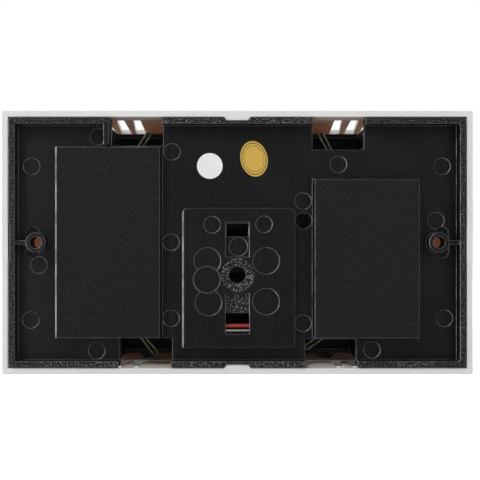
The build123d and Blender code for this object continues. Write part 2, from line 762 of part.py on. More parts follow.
# Four screws hold the yokes' feet, and two hold the terminal block.
with BuildPart() as yoke_screws:
    seat = yoke_foot_back + yoke_sheet
    for z in (front_z, rear_z):
        for side in (-1, 1):
            cross_head(side * yoke_screw_x, z, seat, screw_shank_length - winding_gap)
            cross_cut(side * yoke_screw_x, z, seat)
    heads = yoke_screws.edges().filter_by(GeomType.CIRCLE).group_by(Axis.Y)[0]
    fillet(heads, screw_head_height / 3)
save(yoke_screws, "yoke_screws")

block_front = block_near + block_thickness
with BuildPart() as block_screws:
    for side in (-1, 1):
        cross_head(side * post_x, block_z, block_front, block_thickness + post_hole_length * half_share)
        cross_cut(side * post_x, block_z, block_front)
    heads = block_screws.edges().filter_by(GeomType.CIRCLE).group_by(Axis.Y)[0]
    fillet(heads, screw_head_height / 3)
save(block_screws, "block_screws")

# The terminal block is a moulded bar on two posts, with three clamp screws for the bell wires.
with BuildPart() as terminal_block:
    slab((-block_half_width, block_half_width), (block_z - block_height / 2, block_z + block_height / 2),
         (block_near, block_front), corner=block_edge_radius)
    for x in (-terminal_x, 0, terminal_x):
        disc(x, block_z, terminal_pit_radius, (block_front - terminal_pit_depth, block_front),
             mode=Mode.SUBTRACT)
        disc(x, block_z, terminal_hole_radius, (block_near, block_front), mode=Mode.SUBTRACT)
    for side in (-1, 1):
        disc(side * post_x, block_z, screw_hole_radius, (block_near, block_front), mode=Mode.SUBTRACT)
save(terminal_block, "terminal_block")

washer_seat = block_front - terminal_pit_depth
with BuildPart() as clamp_washers:
    for x in (-terminal_x, 0, terminal_x):
        slab((x - washer_size / 2, x + washer_size / 2),
             (block_z - washer_size / 2, block_z + washer_size / 2),
             (block_front, block_front + washer_thickness), corner=washer_thickness)
        disc(x, block_z, terminal_hole_radius, (washer_seat, block_front + washer_thickness),
             mode=Mode.SUBTRACT)
save(clamp_washers, "clamp_washers")

with BuildPart() as terminal_screws:
    head_seat = block_front + washer_thickness
    for x in (-terminal_x, 0, terminal_x):
        disc(x, block_z, terminal_shank_radius, (block_near, head_seat))
        disc(x, block_z, terminal_head_radius, (head_seat, head_seat + terminal_head_height))
        slab((x - terminal_head_radius, x + terminal_head_radius),
             (block_z - slot_cut_width / 2, block_z + slot_cut_width / 2),
             (head_seat + terminal_head_height - slot_cut_depth, head_seat + terminal_head_height),
             mode=Mode.SUBTRACT)
save(terminal_screws, "terminal_screws")

# Four insulated leads join the windings to the terminals. Points are x, depth and z.
tape_face = winding_radius + winding_gap + tape_thickness + lead_gap
lead_end = block_near - lead_gap
leads = {
    "red_lead": (
        [
            (red_lead_x, axis_depth - tape_face, rear_z),
            (red_lead_x, red_lead_depth, rear_z),
            (red_lead_x, red_lead_depth, pad_bottom + red_lead_rise),
            (red_lead_end_x, red_lead_depth, pad_bottom + red_lead_rise),
            (red_lead_end_x, red_lead_depth, block_z),
            (red_lead_end_x, lead_end, block_z),
        ],
        [lead_start_bend, lead_corner, lead_sweep, lead_sweep],
    ),
}
for name, x, coil_side, level in (
        ("rear_lead", rear_lead_x, rear_z + tape_face, block_z - lead_shift),
        ("front_lead", front_lead_x, front_z - tape_face, block_z + lead_shift),
        ("common_lead", common_lead_x, front_z - tape_face, block_z + lead_shift)):
    leads[name] = ([(x, axis_depth, coil_side), (x, axis_depth, level), (x, lead_end, level)], [lead_bend])
for name, (points, radii) in leads.items():
    with BuildPart() as lead:
        with BuildLine() as line:
            FilletPolyline(*[(x, -depth, z) for x, depth, z in points], radius=radii)
        path = line.wire()
        with BuildSketch(Plane(origin=path @ 0, z_dir=path % 0)):
            Circle(lead_radius)
        sweep(path=path)
    print(name, round(path.length, 1), "mm long, radii", radii, "volume over section times length",
          round(lead.part.volume / (pi * lead_radius ** 2 * path.length), 4))
    save(lead, name)

# Two paper labels on the back of the floor: a round white one and an oval gold one, both bare.
with BuildPart() as round_label:
    disc(round_label_x, pad_top + round_label_share * label_field, round_label_radius,
         (floor_depth - label_thickness, floor_depth))
save(round_label, "round_label")

with BuildPart() as oval_label:
    with BuildSketch(Plane.XZ.offset(floor_depth - label_thickness)):
        with Locations(Location((oval_label_x, pad_top + oval_label_share * label_field), oval_label_turn)):
            Ellipse(oval_label_half_width, oval_label_half_height)
    extrude(amount=label_thickness)
save(oval_label, "oval_label")
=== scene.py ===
from math import cos, pi, radians, sin

import bpy
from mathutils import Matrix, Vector


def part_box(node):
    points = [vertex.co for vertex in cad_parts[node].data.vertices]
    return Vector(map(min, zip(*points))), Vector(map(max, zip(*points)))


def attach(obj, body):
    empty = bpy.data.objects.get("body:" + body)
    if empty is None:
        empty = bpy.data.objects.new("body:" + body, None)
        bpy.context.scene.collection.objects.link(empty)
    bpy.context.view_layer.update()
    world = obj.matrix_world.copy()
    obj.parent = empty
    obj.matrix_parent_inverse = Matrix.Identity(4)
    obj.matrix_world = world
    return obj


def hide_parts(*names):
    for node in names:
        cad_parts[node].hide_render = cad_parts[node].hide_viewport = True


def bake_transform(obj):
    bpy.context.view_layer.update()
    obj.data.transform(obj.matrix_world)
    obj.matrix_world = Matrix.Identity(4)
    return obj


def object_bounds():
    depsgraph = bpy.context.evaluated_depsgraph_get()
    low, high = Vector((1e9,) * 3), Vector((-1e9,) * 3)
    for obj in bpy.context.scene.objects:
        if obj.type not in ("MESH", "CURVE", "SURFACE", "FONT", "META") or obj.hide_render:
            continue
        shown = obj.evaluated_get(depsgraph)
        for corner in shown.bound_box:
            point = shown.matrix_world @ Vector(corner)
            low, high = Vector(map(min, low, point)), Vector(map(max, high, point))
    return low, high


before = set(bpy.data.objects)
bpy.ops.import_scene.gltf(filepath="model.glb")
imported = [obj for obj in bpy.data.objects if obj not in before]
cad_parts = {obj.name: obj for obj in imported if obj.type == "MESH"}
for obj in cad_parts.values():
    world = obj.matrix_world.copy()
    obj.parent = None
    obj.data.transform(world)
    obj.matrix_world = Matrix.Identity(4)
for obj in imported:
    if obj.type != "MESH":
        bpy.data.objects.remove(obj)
cad_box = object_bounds()
bpy.ops.object.select_all(action="DESELECT")

# The base plate is one black injection moulding, semi-matt, with a fine grain from its mould. Its
# edges are slightly rounded and catch the light, and handling has left faint dust on the flats.
# Towards +X the flats are painted paler: that is painted light, from the side the lamps light most.
BLACK = (0.0040, 0.0036, 0.0043, 1)
DUST = (0.0095, 0.0084, 0.0102, 1)
PAINTED_LIGHT_PLUS_X = (0.0190, 0.0170, 0.0205, 1)
PLUS_X_LIGHT_RISE = 11.0
PLUS_X_LIGHT_SHARE = 0.7


def new_material(name, colour, roughness, metallic=0.0):
    material = bpy.data.materials.new(name)
    material.use_nodes = True
    shader = material.node_tree.nodes["Principled BSDF"]
    shader.inputs["Base Color"].default_value = colour
    shader.inputs["Roughness"].default_value = roughness
    shader.inputs["Metallic"].default_value = metallic
    place = material.node_tree.nodes.new("ShaderNodeTexCoord")
    return material, shader, place.outputs["Object"]


def add(material, kind, **settings):
    node = material.node_tree.nodes.new(kind)
    for name, value in settings.items():
        setattr(node, name, value)
    return node


def join(material, out, into):
    material.node_tree.links.new(out, into)


def speckle(material, place, scale, detail=3.0, stretch=None):
    """Noise over the piece, in features of about one metre over the scale."""
    noise = add(material, "ShaderNodeTexNoise")
    noise.inputs["Scale"].default_value = scale
    noise.inputs["Detail"].default_value = detail
    if stretch:
        turn = add(material, "ShaderNodeMapping")
        turn.inputs["Scale"].default_value = stretch
        join(material, place, turn.inputs["Vector"])
        place = turn.outputs["Vector"]
    join(material, place, noise.inputs["Vector"])
    return noise.outputs["Fac"]


def tint(material, factor, first, second, low=0.35, high=0.7):
    """A colour that goes from the first to the second as the factor rises."""
    ramp = add(material, "ShaderNodeValToRGB")
    ramp.color_ramp.elements[0].position = low
    ramp.color_ramp.elements[0].color = first
    ramp.color_ramp.elements[1].position = high
    ramp.color_ramp.elements[1].color = second
    join(material, factor, ramp.inputs["Fac"])
    return ramp.outputs["Color"]


def spread(material, factor, low, high):
    """A plain number from low to high as the factor goes from 0 to 1."""
    scaled = add(material, "ShaderNodeMapRange")
    scaled.inputs["To Min"].default_value = low
    scaled.inputs["To Max"].default_value = high
    join(material, factor, scaled.inputs["Value"])
    return scaled.outputs["Result"]


def relief(material, shader, height, distance, strength=1.0, edge=0.0):
    """Bumps of the given depth in metres, over edges rounded by the edge radius."""
    bump = add(material, "ShaderNodeBump")
    bump.inputs["Strength"].default_value = strength
    bump.inputs["Distance"].default_value = distance
    join(material, height, bump.inputs["Height"])
    if edge:
        rounding = add(material, "ShaderNodeBevel", samples=6)
        rounding.inputs["Radius"].default_value = edge
        join(material, rounding.outputs["Normal"], bump.inputs["Normal"])
    join(material, bump.outputs["Normal"], shader.inputs["Normal"])


def blend_colours(material, factor, first, second):
    """The first colour, turning to the second as the factor rises. Either may be an output."""
    mix = add(material, "ShaderNodeMix", data_type="RGBA")
    join(material, factor, mix.inputs["Factor"])
    for colour, socket in ((first, mix.inputs["A"]), (second, mix.inputs["B"])):
        if isinstance(colour, tuple):
            socket.default_value = colour
        else:
            join(material, colour, socket)
    return mix.outputs["Result"]


def compute(material, operation, first, second=None):
    """One sum on outputs or plain numbers."""
    sum_node = add(material, "ShaderNodeMath", operation=operation, use_clamp=operation == "ADD")
    for number, socket in zip((first, second), sum_node.inputs):
        if isinstance(number, (int, float)):
            socket.default_value = number
        elif number is not None:
            join(material, number, socket)
    return sum_node.outputs["Value"]


def block_mask(material, place, low, high):
    """1 inside the block with these two corners, in metres, and 0 outside."""
    moved = add(material, "ShaderNodeMapping", vector_type="TEXTURE")
    moved.inputs["Location"].default_value = [(a + b) / 2 for a, b in zip(low, high)]
    moved.inputs["Scale"].default_value = [(b - a) / 2 for a, b in zip(low, high)]
    join(material, place, moved.inputs["Vector"])
    size = add(material, "ShaderNodeVectorMath", operation="ABSOLUTE")
    join(material, moved.outputs["Vector"], size.inputs[0])
    parts = add(material, "ShaderNodeSeparateXYZ")
    join(material, size.outputs["Vector"], parts.inputs["Vector"])
    widest = compute(material, "MAXIMUM", parts.outputs["X"], parts.outputs["Y"])
    widest = compute(material, "MAXIMUM", widest, parts.outputs["Z"])
    return compute(material, "LESS_THAN", widest, 1.0)


def round_distance(material, place, centre, across, up, turn=0.0):
    """Distance from a line along y through the centre, where 1 is at the oval of these radii."""
    moved = add(material, "ShaderNodeMapping", vector_type="TEXTURE")
    moved.inputs["Location"].default_value = centre
    moved.inputs["Rotation"].default_value = (0, turn, 0)
    moved.inputs["Scale"].default_value = (across, 1, up)
    join(material, place, moved.inputs["Vector"])
    flat = add(material, "ShaderNodeVectorMath", operation="MULTIPLY")
    flat.inputs[1].default_value = (1, 0, 1)
    join(material, moved.outputs["Vector"], flat.inputs[0])
    distance = add(material, "ShaderNodeVectorMath", operation="LENGTH")
    join(material, flat.outputs["Vector"], distance.inputs[0])
    return distance.outputs["Value"]


def edge_mask(material, radius, strength):
    """Rises from 0 on a flat to 1 at an edge, and how far that edge leans to +X, from 0 to 1."""
    rounding = add(material, "ShaderNodeBevel", samples=8)
    rounding.inputs["Radius"].default_value = radius
    facing = add(material, "ShaderNodeNewGeometry")
    agree = add(material, "ShaderNodeVectorMath", operation="DOT_PRODUCT")
    join(material, rounding.outputs["Normal"], agree.inputs[0])
    join(material, facing.outputs["Normal"], agree.inputs[1])
    apart = compute(material, "SUBTRACT", 1.0, agree.outputs["Value"])
    edge = compute(material, "MINIMUM", compute(material, "MULTIPLY", apart, strength), 1.0)
    leaning = add(material, "ShaderNodeSeparateXYZ")
    join(material, rounding.outputs["Normal"], leaning.inputs["Vector"])
    lean = compute(material, "MAXIMUM", leaning.outputs["X"], 0.0)
    return edge, compute(material, "MULTIPLY", lean, edge)


def dress(material, slot, *nodes):
    """Gives CAD nodes this finish."""
    for name in nodes:
        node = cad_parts[name]
        node.data.materials.clear()
        node.data.materials.append(material)


black, shader, place = new_material("black_moulding", BLACK, 0.42)
streaks = speckle(black, place, 1500, 3.0, (1, 1, 0.05))
floor_dust = compute(black, "MULTIPLY", speckle(black, place, 60, 6.0), streaks)
colour = tint(black, floor_dust, BLACK, DUST, 0.16, 0.40)
parts = add(black, "ShaderNodeSeparateXYZ")
join(black, place, parts.inputs["Vector"])
# Painted light: the flats grow paler towards +X, the side the lamps light most.
plus_x_painted_light = compute(black, "MULTIPLY", compute(black, "MAXIMUM", parts.outputs["X"], 0.0), PLUS_X_LIGHT_RISE)
plus_x_painted_light = compute(black, "POWER", plus_x_painted_light, 2.0)
colour = blend_colours(black, compute(black, "MULTIPLY", plus_x_painted_light, PLUS_X_LIGHT_SHARE), colour, PAINTED_LIGHT_PLUS_X)

# The backs of the plate's two wells were textured in the mould. Their leather grain is finer than
# the floor's, slightly paler, and drawn out up and down.
LARGE_WELL = ((0.0320, -0.0012, -0.0398), (0.0758, -0.0005, 0.0398))
SMALL_WELL = ((-0.0758, -0.0012, -0.0398), (-0.0320, -0.0005, 0.0262))
CLEAN_WELL = (0.0045, 0.0042, 0.0047, 1)
DUSTY_WELL = (0.0210, 0.0200, 0.0210, 1)
BROWNED = (0.0130, 0.0100, 0.0095, 1)
wells = compute(black, "ADD", block_mask(black, place, *LARGE_WELL), block_mask(black, place, *SMALL_WELL))
leather = speckle(black, place, 2000, 4.0, (1, 1, 0.26))
leather = tint(black, leather, CLEAN_WELL, DUSTY_WELL, 0.34, 0.76)
warmer = speckle(black, place, 45, 3.0)
leather = blend_colours(black, tint(black, warmer, (0, 0, 0, 1), (0.3, 0.3, 0.3, 1)), leather, BROWNED)
colour = blend_colours(black, wells, colour, leather)

# The mould was spark-eroded in places, which left a coarse pale grain: the rim, more so in some
# stretches, a ring round the wire entry and the low end of the channel.
DARK_GRAIN = (0.0050, 0.0050, 0.0055, 1)
SPARKED = (0.230, 0.227, 0.235, 1)
SPARKED_STRETCHES = (
    ((0.0069, -0.0010, 0.0491), (0.0312, 0.001, 0.0520)),
    ((-0.0315, -0.0010, 0.0491), (-0.0071, 0.001, 0.0520)),
    ((0.0065, -0.0010, -0.0520), (0.0274, 0.001, -0.0491)),
    ((-0.0283, -0.0010, -0.0520), (-0.0071, 0.001, -0.0491)),
    ((0.0490, -0.0010, -0.0520), (0.0820, 0.001, -0.0491)),
    ((-0.0820, -0.0010, -0.0520), (-0.0660, 0.001, -0.0491)),
    ((-0.0050, -0.0060, -0.0297), (0.0014, -0.003, -0.0218)),
)
BACK_EDGE = ((-0.1000, -0.0006, -0.0600), (0.1000, 0.001, 0.0600))
INSIDE_RIM = ((-0.0922, -0.01, -0.0492), (0.0922, 0.01, 0.0492))
CHANNEL_END = ((0.0010, -0.0060, -0.0297), (0.0050, -0.003, -0.0218))
WIRE_ENTRY = (0, 0, -0.0137)
WIRE_RING_RADIUS = 0.0070
PAD_DEPTHS = ((-0.01, -0.0057, -0.03), (0.01, -0.0030, 0.01))
PLAIN_RIM_SHARE = 0.5
back_face = block_mask(black, place, *BACK_EDGE)
inside_rim = block_mask(black, place, *INSIDE_RIM)
rim = compute(black, "MULTIPLY", back_face, compute(black, "SUBTRACT", 1.0, inside_rim))
channel_end = block_mask(black, place, *CHANNEL_END)
sparked = compute(black, "MULTIPLY", compute(black, "ADD", rim, channel_end), PLAIN_RIM_SHARE)
for stretch in SPARKED_STRETCHES:
    sparked = compute(black, "MAXIMUM", sparked, block_mask(black, place, *stretch))
from_entry = round_distance(black, place, WIRE_ENTRY, WIRE_RING_RADIUS, WIRE_RING_RADIUS)
ring = compute(black, "LESS_THAN", from_entry, 1.0)
near_back = block_mask(black, place, *PAD_DEPTHS)
sparked = compute(black, "ADD", sparked, compute(black, "MULTIPLY", ring, near_back))
coarse = speckle(black, place, 1500, 3.0)
colour = blend_colours(black, sparked, colour, tint(black, coarse, DARK_GRAIN, SPARKED, 0.52, 0.62))

# Handling has rubbed the plate's edges smooth, and they are painted pale, partly for wear and partly
# as a painted highlight, more in some places than in others. Those that lean to +X carry a paler
# painted highlight, and two of them a broken painted highlight line from end to end. One ejector
# mark on the pad overlaps its two neighbours; its whole ring is a painted highlight line, not raised.
PAINTED_HIGHLIGHT_LINES = (
    ((0.0750, -0.0016, -0.0398), (0.0765, -0.0003, 0.0398)),
    ((0.0224, -0.0042, -0.0440), (0.0232, -0.0030, 0.0135)),
)
PIN_MARK = (0.0128, 0, -0.0156)
PIN_MARK_RADIUS = 0.0056
PIN_MARK_LINE = 0.05
PIN_MARK_FIELD = ((0.0060, -0.0042, -0.0240), (0.0200, -0.0033, -0.0080))
WORN_AND_HIGHLIGHT = (0.060, 0.058, 0.060, 1)
PAINTED_EDGE_HIGHLIGHT = (0.480, 0.460, 0.480, 1)
WEAR_AND_HIGHLIGHT_WIDTH = 0.00030
PLUS_X_HIGHLIGHT_WIDTH = 0.00060
EDGE_RISE = 12.0
PAINTED_HIGHLIGHT_STRENGTH = 1.3
edge_wear_and_highlight = edge_mask(black, WEAR_AND_HIGHLIGHT_WIDTH, EDGE_RISE)[0]
plus_x_edge_highlight = edge_mask(black, PLUS_X_HIGHLIGHT_WIDTH, EDGE_RISE)[1]
patches = tint(black, speckle(black, place, 180, 5.0), (0.1, 0.1, 0.1, 1), (1, 1, 1, 1), 0.35, 0.62)
# Partly wear and partly painted highlight: every edge is painted paler.
colour = blend_colours(black, compute(black, "MULTIPLY", edge_wear_and_highlight, patches), colour, WORN_AND_HIGHLIGHT)
highlight_patches = compute(black, "MULTIPLY", patches, PAINTED_HIGHLIGHT_STRENGTH)
# Painted highlight: edges that lean to +X are painted palest.
colour = blend_colours(black, compute(black, "MULTIPLY", plus_x_edge_highlight, highlight_patches), colour, PAINTED_EDGE_HIGHLIGHT)
highlight_line_patches = spread(black, patches, 0.30, 0.90)
# Painted highlight: two broken pale lines are painted along two edges.
for highlight_line in PAINTED_HIGHLIGHT_LINES:
    line = compute(black, "MULTIPLY", block_mask(black, place, *highlight_line), highlight_line_patches)
    colour = blend_colours(black, line, colour, PAINTED_EDGE_HIGHLIGHT)
from_mark = round_distance(black, place, PIN_MARK, PIN_MARK_RADIUS, PIN_MARK_RADIUS)
off_ring = compute(black, "ABSOLUTE", compute(black, "SUBTRACT", from_mark, 1.0))
pad_back = block_mask(black, place, *PIN_MARK_FIELD)
painted_ring_highlight = compute(black, "MULTIPLY", compute(black, "LESS_THAN", off_ring, PIN_MARK_LINE), pad_back)
# Painted highlight: the pin mark's ring is painted as a pale line.
colour = blend_colours(black, painted_ring_highlight, colour, WORN_AND_HIGHLIGHT)
join(black, colour, shader.inputs["Base Color"])
dull = spread(black, speckle(black, place, 35, 4.0), 0.40, 0.60)
smoother = compute(black, "MULTIPLY", dull, spread(black, edge_wear_and_highlight, 1.0, 0.5))
join(black, smoother, shader.inputs["Roughness"])
join(black, spread(black, edge_wear_and_highlight, 0.10, 1.0), shader.inputs["Specular IOR Level"])
fine = compute(black, "MULTIPLY", speckle(black, place, 2400, 2.0, (1, 1, 0.4)), 0.35)
grain = compute(black, "ADD", compute(black, "MULTIPLY", sparked, coarse), fine)
GRAIN_DEPTH = 0.00018
EDGE_RADIUS = 0.00035
relief(black, shader, grain, GRAIN_DEPTH, 0.75, edge=EDGE_RADIUS)
dress(black, "black", "base_plate", "cord_brackets")

# Two paper labels are stuck to the plate's back: a small white disc and a gold oval with a thin
# dark line inside its edge. Both are left blank.
paper, shader, place = new_material("white_label_paper", (0.93, 0.93, 0.93, 1), 0.6)
blotches = speckle(paper, place, 400)
colour = tint(paper, blotches, (0.92, 0.92, 0.92, 1), (0.95, 0.95, 0.95, 1))
join(paper, colour, shader.inputs["Base Color"])
relief(paper, shader, speckle(paper, place, 1500), 0.00002)
dress(paper, "white_paper", "round_label")

GOLD = (0.66, 0.42, 0.066, 1)
gold, shader, place = new_material("gold_label_paper", GOLD, 0.5)
centre = (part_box("oval_label")[0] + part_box("oval_label")[1]) / 2
GOLD_HALF_WIDTH = 0.0057
GOLD_HALF_HEIGHT = 0.00755
GOLD_TURN = radians(12)
distance = round_distance(gold, place, centre, GOLD_HALF_WIDTH, GOLD_HALF_HEIGHT, GOLD_TURN)
GOLD_LINE = (0.13, 0.075, 0.02, 1)
line = add(gold, "ShaderNodeValToRGB")
stops = line.color_ramp.elements
stops[0].color = GOLD
stops[1].color = GOLD
for position, colour in ((0.70, GOLD), (0.715, GOLD_LINE), (0.735, GOLD_LINE), (0.75, GOLD),
                         (0.84, GOLD), (0.86, GOLD_LINE), (0.90, GOLD_LINE), (0.92, GOLD)):
    stops.new(position).color = colour
join(gold, distance, line.inputs["Fac"])
join(gold, line.outputs["Color"], shader.inputs["Base Color"])
relief(gold, shader, speckle(gold, place, 900), 0.00003)
dress(gold, "gold_paper", "oval_label")

# Each solenoid sits in a yoke folded from zinc-plated steel sheet, with faint rolling lines. The
# outer half of its long cut edge is painted bright, a painted highlight.
LOW_CUT_EDGE = ((-0.0200, -0.0095, -0.0378), (0.0200, -0.0080, -0.0372))
HIGH_CUT_EDGE = ((-0.0200, -0.0095, 0.0242), (0.0200, -0.0080, 0.0248))
CUT_EDGE_PAINTED_HIGHLIGHT = (0.50, 0.50, 0.49, 1)
zinc, shader, place = new_material("zinc_plated_yoke", (0.17, 0.17, 0.165, 1), 0.4, 0.9)
rolled = speckle(zinc, place, 90, 4.0, (1, 1, 6))
colour = tint(zinc, rolled, (0.05, 0.05, 0.05, 1), (0.10, 0.10, 0.10, 1))
# Painted highlight: the outer half of each long cut edge is painted bright.
highlighted_cut_edges = compute(zinc, "ADD",
                    block_mask(zinc, place, *LOW_CUT_EDGE), block_mask(zinc, place, *HIGH_CUT_EDGE))
join(zinc, blend_colours(zinc, highlighted_cut_edges, colour, CUT_EDGE_PAINTED_HIGHLIGHT), shader.inputs["Base Color"])
join(zinc, spread(zinc, speckle(zinc, place, 250), 0.28, 0.5), shader.inputs["Roughness"])
relief(zinc, shader, speckle(zinc, place, 500, 2.0, (0.1, 1, 1)), 0.00003, edge=0.0002)
dress(zinc, "yoke_steel", "front_yoke", "rear_yoke")

# The two bobbins are moulded in natural nylon, slightly see-through and yellowed. Each stands with
# its square flanges between the legs of its yoke.
nylon, shader, place = new_material("natural_nylon", (0.72, 0.69, 0.58, 1), 0.45)
colour = tint(nylon, speckle(nylon, place, 120), (0.68, 0.65, 0.54, 1), (0.78, 0.75, 0.66, 1))
join(nylon, colour, shader.inputs["Base Color"])
shader.inputs["Subsurface Weight"].default_value = 0.15
shader.inputs["Subsurface Radius"].default_value = (0.002, 0.0015, 0.001)
relief(nylon, shader, speckle(nylon, place, 1200), 0.00002, edge=0.0002)
dress(nylon, "nylon", "front_bobbin", "rear_bobbin")

# Enamelled copper wire is wound on the bobbins in even layers. Its turns run round x, so the bands
# of light and dark stand across x.
copper, shader, place = new_material("enamelled_copper", (0.55, 0.20, 0.08, 1), 0.3, 0.85)
turns = add(copper, "ShaderNodeTexWave", wave_type="BANDS", bands_direction="X")
turns.inputs["Scale"].default_value = 900
turns.inputs["Distortion"].default_value = 0.4
join(copper, place, turns.inputs["Vector"])
colour = tint(copper, turns.outputs["Fac"], (0.22, 0.07, 0.03, 1), (0.62, 0.25, 0.10, 1), 0.1, 0.8)
join(copper, colour, shader.inputs["Base Color"])
relief(copper, shader, turns.outputs["Fac"], 0.00008)
dress(copper, "copper_winding", "front_winding", "rear_winding")

# Black cloth tape covers each winding. It is wound on with overlapping edges, which show as low
# steps along x.
tape, shader, place = new_material("black_cloth_tape", (0.006, 0.006, 0.006, 1), 0.85)
shader.inputs["Specular IOR Level"].default_value = 0.2
edges = add(tape, "ShaderNodeTexWave", wave_type="BANDS", bands_direction="X", wave_profile="SAW")
edges.inputs["Scale"].default_value = 20
edges.inputs["Distortion"].default_value = 0.6
join(tape, place, edges.inputs["Vector"])
weave = speckle(tape, place, 2200, 1.0)
colour = tint(tape, weave, (0.004, 0.004, 0.004, 1), (0.011, 0.011, 0.010, 1))
join(tape, colour, shader.inputs["Base Color"])
relief(tape, shader, compute(tape, "ADD", edges.outputs["Fac"], weave), 0.00008)
dress(tape, "tape", "front_tape", "rear_tape")

# The two plungers are turned from steel bar, and slide in the bobbins. The lathe has left fine
# lines round x.
turned, shader, place = new_material("turned_steel", (0.45, 0.45, 0.46, 1), 0.28, 1.0)
rings = speckle(turned, place, 400, 2.0, (6, 0.2, 0.2))
colour = tint(turned, rings, (0.36, 0.36, 0.37, 1), (0.52, 0.52, 0.53, 1))
join(turned, colour, shader.inputs["Base Color"])
relief(turned, shader, rings, 0.00002, edge=0.0002)
dress(turned, "core_steel", "front_plunger", "rear_plunger")

# The plungers' striking tips, and the cap that takes the rear spring, are moulded smooth in white
# acetal and fixed on the plungers' ends.
acetal, shader, place = new_material("white_acetal", (0.80, 0.79, 0.74, 1), 0.35)
colour = tint(acetal, speckle(acetal, place, 150), (0.77, 0.76, 0.71, 1), (0.84, 0.83, 0.79, 1))
join(acetal, colour, shader.inputs["Base Color"])
relief(acetal, shader, speckle(acetal, place, 1500), 0.000015, edge=0.0003)
dress(acetal, "tip_nylon", "front_low_tip", "front_high_tip", "rear_high_tip", "rear_spring_cap")


# A return spring of plain steel wire stands between each yoke and its plunger's collar.
def wire_curve(name, points, radius, order=3, sides=8):
    """A round wire or cord along a smooth line through the given control points."""
    curve = bpy.data.curves.new(name, "CURVE")
    curve.dimensions = "3D"
    curve.bevel_depth = radius
    curve.bevel_resolution = sides
    curve.use_fill_caps = True
    spline = curve.splines.new("NURBS")
    spline.points.add(len(points) - 1)
    for point, spot in zip(spline.points, points):
        point.co = (*spot, 1)
    spline.order_u = order
    spline.use_endpoint_u = True
    spline.resolution_u = 8
    piece = bpy.data.objects.new(name, curve)
    bpy.context.scene.collection.objects.link(piece)
    bpy.context.view_layer.update()
    mesh = bpy.data.meshes.new_from_object(piece)
    mesh.name = name
    bpy.data.objects.remove(piece)
    piece = bpy.data.objects.new(name, mesh)
    bpy.context.scene.collection.objects.link(piece)
    for polygon in mesh.polygons:
        polygon.use_smooth = True
    return piece


SPRING_FOOT = 0.0163
SPRING_HEAD = 0.0310
SPRING_RADIUS = 0.0053
SPRING_WIRE = 0.0003
SPRING_TURNS = 8
STEPS_IN_A_TURN = 12
CLOSED_PITCH_SHARE = 0.35
SPRING_END_ROOM = 0.0005
AXIS_Y = -0.0212
spring_steel, shader, place = new_material("spring_wire", (0.42, 0.42, 0.43, 1), 0.25, 1.0)
drawn = speckle(spring_steel, place, 500)
colour = tint(spring_steel, drawn, (0.34, 0.34, 0.35, 1), (0.50, 0.50, 0.50, 1))
join(spring_steel, colour, shader.inputs["Base Color"])
relief(spring_steel, shader, speckle(spring_steel, place, 1500), 0.00001)
for unit, level in (("front", 0.0118), ("rear", -0.0248)):
    climbed = [0.0]
    for step in range(SPRING_TURNS * STEPS_IN_A_TURN):
        closed = step < STEPS_IN_A_TURN or step > (SPRING_TURNS - 1) * STEPS_IN_A_TURN
        climbed.append(climbed[-1] + (CLOSED_PITCH_SHARE if closed else 1))
    spots = []
    room = SPRING_HEAD - SPRING_FOOT - 2 * SPRING_END_ROOM
    for step, height in enumerate(climbed):
        along = SPRING_FOOT + SPRING_END_ROOM + room * height / climbed[-1]
        angle = 2 * pi * step / STEPS_IN_A_TURN
        spots.append((along, AXIS_Y + SPRING_RADIUS * cos(angle), level + SPRING_RADIUS * sin(angle)))
    spring = wire_curve(unit + "_return_spring", spots, SPRING_WIRE, sides=3)
    spring.data.materials.append(spring_steel)
    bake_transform(spring)
    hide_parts(unit + "_spring")

# The two tone bars are cold-rolled steel strip, nickel-plated and brushed along their length. They
# hang on cords, one at each end of the plate.
bar_steel, shader, place = new_material("plated_tone_bar", (0.60, 0.60, 0.60, 1), 0.25, 1.0)
brushed = speckle(bar_steel, place, 300, 3.0, (1, 8, 0.3))
colour = tint(bar_steel, brushed, (0.52, 0.52, 0.52, 1), (0.68, 0.68, 0.67, 1))
join(bar_steel, colour, shader.inputs["Base Color"])
join(bar_steel, spread(bar_steel, brushed, 0.2, 0.38), shader.inputs["Roughness"])
relief(bar_steel, shader, brushed, 0.00001, edge=0.0003)
dress(bar_steel, "steel", "low_tone_plate", "high_tone_plate")

# A black rubber grommet is pressed into each hole of the bars. It keeps the cord off the steel, so
# that the bar rings.
rubber, shader, place = new_material("black_rubber", (0.02, 0.02, 0.02, 1), 0.75)
colour = tint(rubber, speckle(rubber, place, 300), (0.016, 0.016, 0.016, 1), (0.03, 0.03, 0.03, 1))
join(rubber, colour, shader.inputs["Base Color"])
relief(rubber, shader, speckle(rubber, place, 1300), 0.00003, edge=0.0003)
dress(rubber, "grommet_rubber", "low_plate_grommets", "high_plate_grommets")

# Each bar hangs on loops of olive nylon cord. A loop goes round its peg, both strands pass
# through the grommet, and a knot holds them on the far side. A lower knot stands clear of its bar.
CORD_RADIUS = 0.0004
cord_finish, shader, place = new_material("twisted_nylon_cord", (0.30, 0.27, 0.13, 1), 0.6)
strands = speckle(cord_finish, place, 900, 2.0)
colour = tint(cord_finish, strands, (0.24, 0.22, 0.12, 1), (0.56, 0.52, 0.33, 1))
join(cord_finish, colour, shader.inputs["Base Color"])
shader.inputs["Sheen Weight"].default_value = 0.3
relief(cord_finish, shader, strands, 0.00015)
LOOP = 0.00105
BEHIND_BAR = 0.0530
BAR_MOUTH = 0.0490
LOWER_KNOT_ROOM = 0.0014
LOWER_HOLE_Z = -0.0340
STRAND_RISE = 0.0006
ENTRY, EXIT = 0.0010, 0.0004
KNOT_STEPS = 36
KNOT_SIZE = 0.00042
KNOT_WAVE = 0.00045
KNOT_CENTRE = 0.0011
KNOT_THICKNESS = 0.00052
